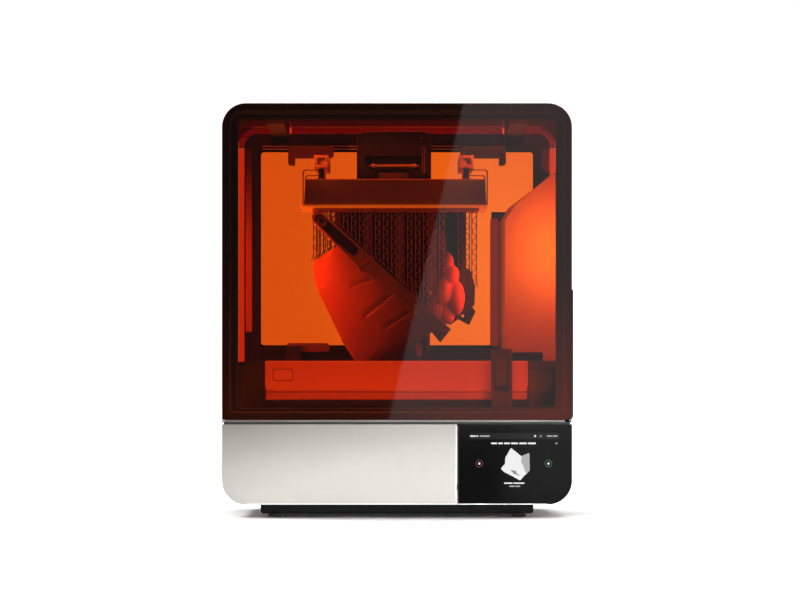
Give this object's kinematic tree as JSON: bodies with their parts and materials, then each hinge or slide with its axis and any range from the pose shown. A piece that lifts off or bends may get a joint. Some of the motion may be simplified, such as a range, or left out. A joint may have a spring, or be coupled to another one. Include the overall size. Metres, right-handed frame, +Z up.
{
  "type": "resin printer",
  "caption": "Desktop masked-light resin 3D printer with an amber lift-up cover, resin tank, lift tower, build platform and front touch display.",
  "frame": {"origin": "on the table, under the middle of the base", "axes": "+X to the machine's right as seen from the front, +Y to the rear, +Z up"},
  "size_m": [0.625, 0.52, 0.735],
  "materials": {
    "rubber": "matt rubber",
    "dark_plastic": "fine spark texture",
    "light_panel": "satin warm grey",
    "display_glass": "black cover glass",
    "display": "LCD module",
    "trim": "satin silver",
    "steel": "machined",
    "dark_metal": "black powder coat",
    "dark_alloy": "black anodised",
    "board": "solder mask",
    "lamp_board": "bare",
    "panel_glass": "light panel",
    "brass": "machined",
    "platform_metal": "bead blasted",
    "sheet": "spring steel",
    "print_resin": "cured resin",
    "tank_plastic": "orange translucent",
    "film": "clear film",
    "amber": "amber acrylic",
    "bay_plastic": "moulded grey"
  },
  "bodies": {
    "chassis": {"rubber_feet": "rubber", "base_pedestal": "dark_plastic", "base_shell": "light_panel", "front_panel": "light_panel", "display_glass": "display_glass", "display_module": "display", "front_subframe": "steel", "base_deck": "dark_plastic", "trim_strip": "trim", "rear_panel": "light_panel", "panel_screws": "steel", "rear_sockets": "dark_plastic", "fan_frames": "dark_plastic", "light_engine_housing": "dark_alloy", "light_engine_window": "panel_glass", "led_array": "lamp_board", "main_board": "board", "power_supply": "steel", "z_motor": "dark_metal", "tower_housing": "dark_alloy", "linear_rails": "steel", "screw_bearings": "steel", "tank_carrier": "dark_alloy", "tank_body": "tank_plastic", "tank_film": "film", "mixer_rail": "dark_plastic", "tank_latch_post": "dark_plastic", "rear_wall_frame": "dark_alloy", "rear_window_gasket": "rubber", "rear_window": "amber", "cartridge_bay_housing": "bay_plastic", "dispense_valves": "dark_plastic", "wall_hooks": "dark_alloy", "hinge_pins": "steel"},
    "cover": {"cover_shell": "amber", "cover_front_pane": "amber", "cover_front_frame": "dark_metal", "cover_seal": "rubber", "cover_side_grip": "dark_plastic", "cover_hinge_arms": "dark_alloy"},
    "carriage": {"carriage_head": "dark_alloy", "carriage_bearings": "steel", "screw_nut": "brass"},
    "lock_bail": {"platform_lock_bail": "steel"},
    "screw": {"lead_screw": "steel"},
    "platform": {"platform_body": "platform_metal", "platform_sheet": "sheet", "handle_posts": "dark_plastic", "release_wires": "steel", "hanging_print": "print_resin"},
    "handle_left": {"release_handle_left": "platform_metal"},
    "handle_right": {"release_handle_right": "platform_metal"},
    "mixer": {"mixer_drive": "dark_metal", "mixer_arm": "tank_plastic"},
    "latch": {"tank_latch_lever": "dark_plastic"},
    "cartridge_a": {"cartridge_left": "dark_plastic"},
    "cartridge_b": {"cartridge_right": "dark_plastic"},
    "fan_a": {"fan_rotor_left": "dark_plastic"},
    "fan_b": {"fan_rotor_right": "dark_plastic"},
    "rocker": {"power_rocker": "dark_plastic"}
  },
  "joints": [
    {"name": "cover_hinge", "type": "hinge", "parent": "chassis", "child": "cover", "pos_m": [0, 0.245, 0.703], "axis": [-1, 0, 0], "range_deg": [0, 70]},
    {"name": "z_slide", "type": "slide", "parent": "chassis", "child": "carriage", "axis": [0, 0, 1], "range_m": [-0.34, 0], "deforming": ["hanging_print"]},
    {"name": "screw_spin", "type": "hinge", "parent": "chassis", "child": "screw", "pos_m": [-0.006, 0.128, 0.4], "axis": [0, 0, 1], "range_deg": [-6130, 10]},
    {"name": "bail_hinge", "type": "hinge", "parent": "carriage", "child": "lock_bail", "pos_m": [-0.0065, -0.103, 0.6334], "axis": [-1, 0, 0], "range_deg": [0, 70]},
    {"name": "platform_unload", "type": "slide", "parent": "carriage", "child": "platform", "axis": [0, -1, 0], "range_m": [0, 0.045]},
    {"name": "handle_left_hinge", "type": "hinge", "parent": "platform", "child": "handle_left", "pos_m": [-0.136, -0.08, 0.616], "axis": [0, 1, 0], "range_deg": [0, 20]},
    {"name": "handle_right_hinge", "type": "hinge", "parent": "platform", "child": "handle_right", "pos_m": [0.125, -0.08, 0.616], "axis": [0, -1, 0], "range_deg": [0, 20]},
    {"name": "mixer_slide", "type": "slide", "parent": "chassis", "child": "mixer", "axis": [1, 0, 0], "range_m": [0, 0.39]},
    {"name": "latch_hinge", "type": "hinge", "parent": "chassis", "child": "latch", "pos_m": [0.1863, -0.226, 0.24], "axis": [1, 0, 0], "range_deg": [0, 15]},
    {"name": "cartridge_left_slide", "type": "slide", "parent": "chassis", "child": "cartridge_a", "axis": [0, 1, 0], "range_m": [0, 0.12]},
    {"name": "cartridge_right_slide", "type": "slide", "parent": "chassis", "child": "cartridge_b", "axis": [0, 1, 0], "range_m": [0, 0.12]},
    {"name": "fan_left_spin", "type": "hinge", "parent": "chassis", "child": "fan_a", "pos_m": [0.06, 0.24, 0.095], "axis": [0, 1, 0], "continuous": true},
    {"name": "fan_right_spin", "type": "hinge", "parent": "chassis", "child": "fan_b", "pos_m": [0.16, 0.24, 0.095], "axis": [0, 1, 0], "continuous": true},
    {"name": "rocker_hinge", "type": "hinge", "parent": "chassis", "child": "rocker", "pos_m": [-0.2305, 0.255, 0.064], "axis": [1, 0, 0], "range_deg": [0, 12]}
  ],
  "couplings": [
    {"joint": "screw_spin", "follows": "z_slide", "rad_per_m": 314.16}
  ]
}
